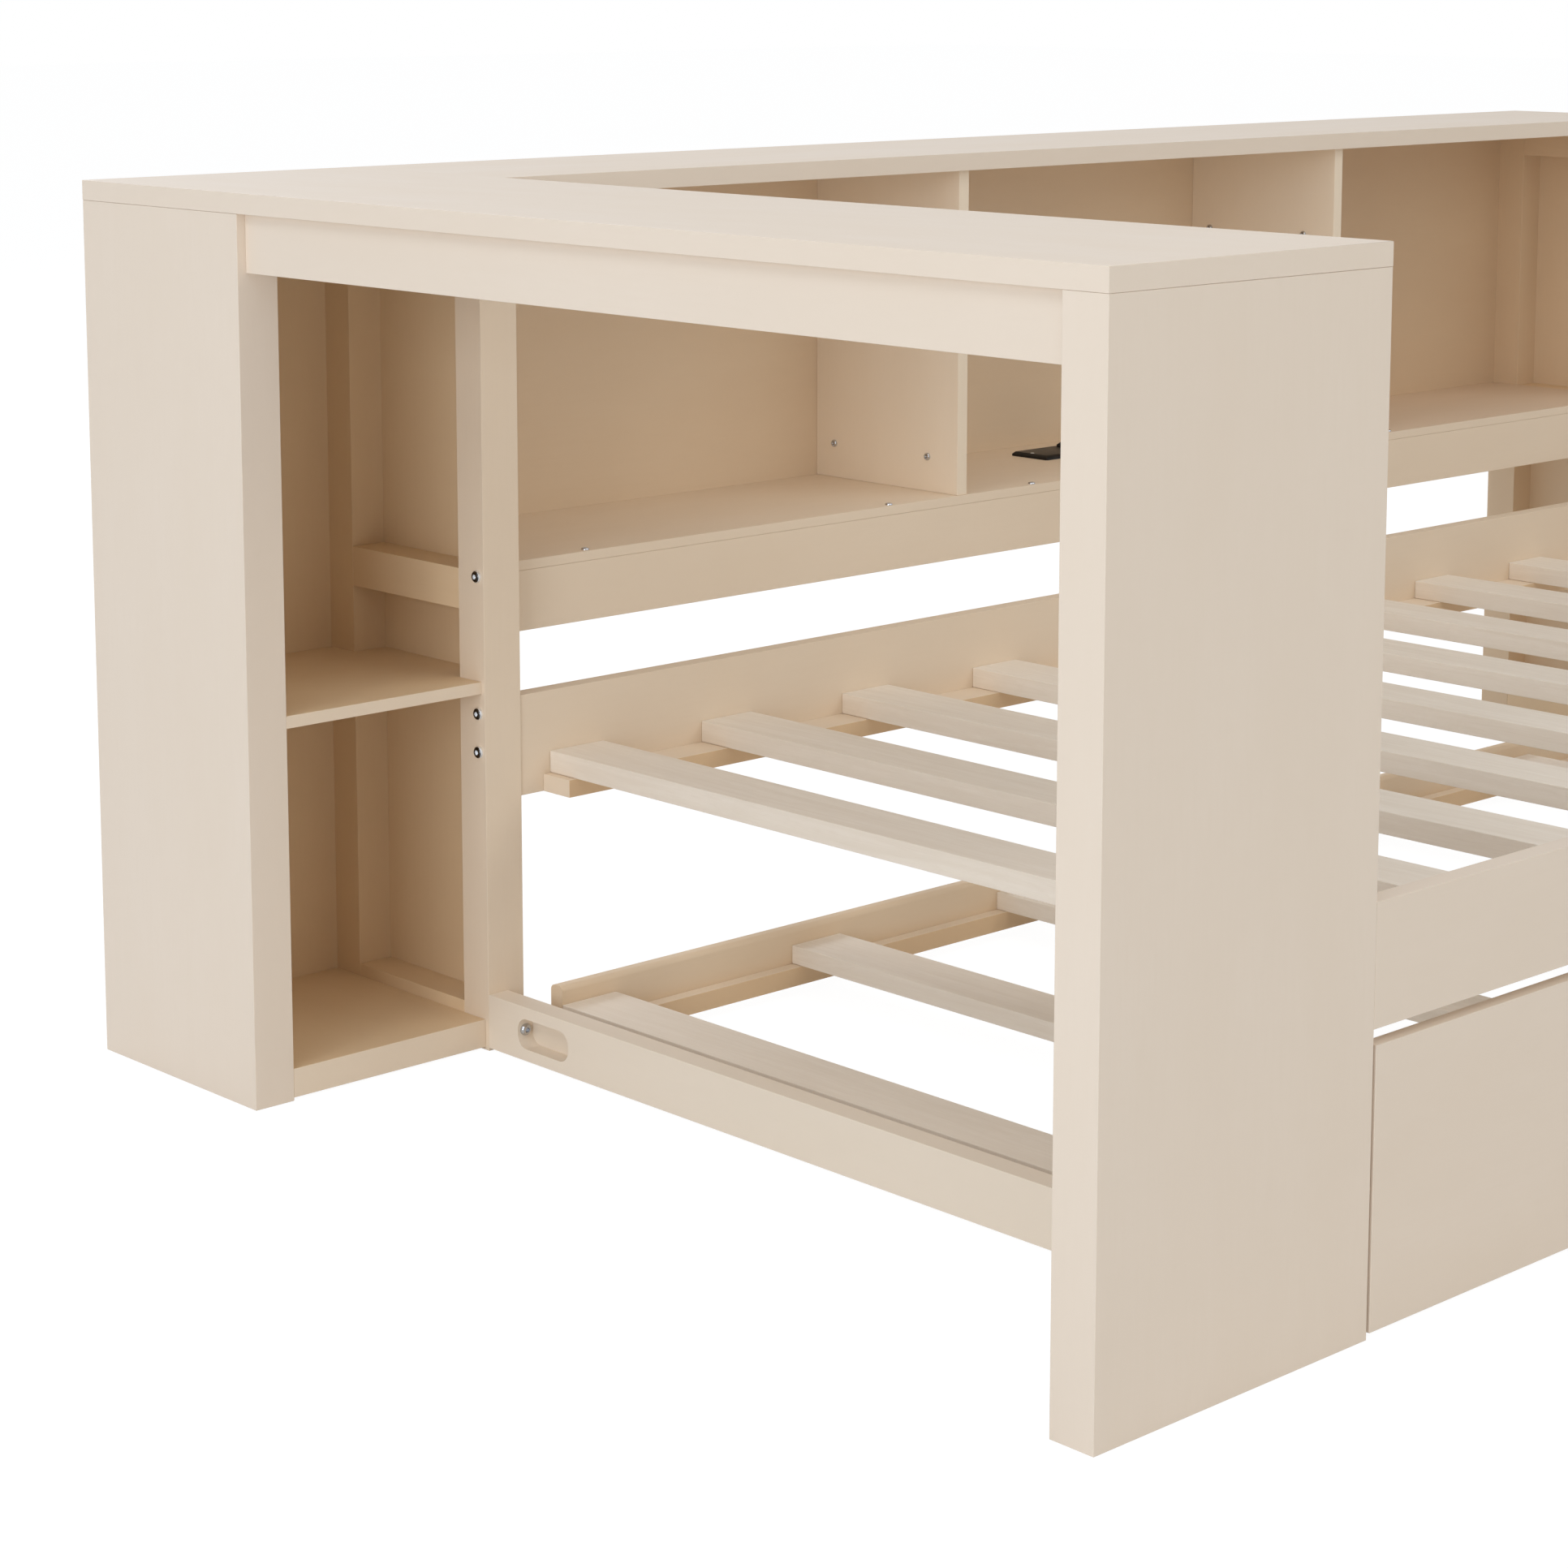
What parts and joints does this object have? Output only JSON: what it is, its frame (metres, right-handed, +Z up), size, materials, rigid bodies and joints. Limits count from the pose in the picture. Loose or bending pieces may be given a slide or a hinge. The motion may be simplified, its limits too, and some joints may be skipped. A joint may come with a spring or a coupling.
{
  "type": "platform bed with trundle",
  "caption": "Platform bed with slats, a desk top and open cabinet across the head, an open bookcase along the back, and a low trundle on casters that rolls out at the front.",
  "frame": {"origin": "middle of the footprint, on the floor", "axes": "+X along the bed from the desk end to the foot, +Y from the open front to the bookcase at the back, +Z up"},
  "size_m": [2.293, 1.294, 0.85],
  "materials": {
    "painted_board": "satin cream paint",
    "painted_panel": "satin cream paint on thin board",
    "bare_slat": "pale planed softwood, unpainted",
    "black_plastic": "moulded, satin",
    "caster_steel": "zinc plated, pressed",
    "caster_nylon": "moulded nylon"
  },
  "bodies": {
    "bed_frame": {"desk_top": "painted_board", "bookcase_top": "painted_board", "desk_leg_panel": "painted_board", "desk_apron": "painted_board", "cabinet_end_panel": "painted_board", "cabinet_shelf": "painted_board", "cabinet_floor": "painted_board", "cabinet_back_panel": "painted_panel", "head_front_post": "painted_board", "head_back_post": "painted_board", "head_top_rail": "painted_board", "head_middle_rail": "painted_board", "head_bottom_rail": "painted_board", "head_frame_panel": "painted_panel", "head_stretcher": "painted_board", "bookcase_shelf": "painted_board", "bookcase_front_rail": "painted_board", "bookcase_back_panel": "painted_panel", "divider_left": "painted_board", "divider_right": "painted_board", "power_hub": "black_plastic", "foot_front_post": "painted_board", "foot_back_post": "painted_board", "foot_top_rail": "painted_board", "foot_middle_rail": "painted_board", "foot_bottom_rail": "painted_board", "foot_frame_panel": "painted_panel", "foot_leg": "painted_board", "foot_end_rail": "painted_board", "bed_front_rail": "painted_board", "bed_back_rail": "painted_board", "bed_back_ledger": "painted_board", "bed_slat_01": "bare_slat", "bed_slat_02": "bare_slat", "bed_slat_03": "bare_slat", "bed_slat_04": "bare_slat", "bed_slat_05": "bare_slat", "bed_slat_06": "bare_slat", "bed_slat_07": "bare_slat", "bed_slat_08": "bare_slat", "bed_slat_09": "bare_slat", "bed_slat_10": "bare_slat"},
    "trundle": {"trundle_front_board": "painted_board", "trundle_back_rail": "painted_board", "trundle_back_ledger": "painted_board", "trundle_slat_1": "bare_slat", "trundle_slat_2": "bare_slat", "trundle_slat_3": "bare_slat", "trundle_slat_4": "bare_slat", "trundle_slat_5": "bare_slat", "trundle_slat_6": "bare_slat", "trundle_slat_7": "bare_slat", "caster_bracket_head_front": "caster_steel", "caster_bracket_head_back": "caster_steel", "caster_bracket_foot_front": "caster_steel", "caster_bracket_foot_back": "caster_steel"},
    "wheel_head_front": {"caster_wheel_head_front": "caster_nylon"},
    "wheel_head_back": {"caster_wheel_head_back": "caster_nylon"},
    "wheel_foot_front": {"caster_wheel_foot_front": "caster_nylon"},
    "wheel_foot_back": {"caster_wheel_foot_back": "caster_nylon"}
  },
  "joints": [
    {"name": "trundle_slide", "type": "slide", "parent": "bed_frame", "child": "trundle", "axis": [0, -1, 0], "range_m": [0, 1]},
    {"name": "wheel_spin_head_front", "type": "hinge", "parent": "trundle", "child": "wheel_head_front", "pos_m": [-0.79475, -0.567, 0.0125], "axis": [1, 0, 0], "continuous": true},
    {"name": "wheel_spin_head_back", "type": "hinge", "parent": "trundle", "child": "wheel_head_back", "pos_m": [-0.79475, 0.266, 0.0125], "axis": [1, 0, 0], "continuous": true},
    {"name": "wheel_spin_foot_front", "type": "hinge", "parent": "trundle", "child": "wheel_foot_front", "pos_m": [1.04425, -0.567, 0.0125], "axis": [1, 0, 0], "continuous": true},
    {"name": "wheel_spin_foot_back", "type": "hinge", "parent": "trundle", "child": "wheel_foot_back", "pos_m": [1.04425, 0.266, 0.0125], "axis": [1, 0, 0], "continuous": true}
  ],
  "couplings": [
    {"joint": "wheel_spin_head_front", "follows": "trundle_slide", "rad_per_m": 80},
    {"joint": "wheel_spin_head_back", "follows": "trundle_slide", "rad_per_m": 80},
    {"joint": "wheel_spin_foot_front", "follows": "trundle_slide", "rad_per_m": 80},
    {"joint": "wheel_spin_foot_back", "follows": "trundle_slide", "rad_per_m": 80}
  ]
}
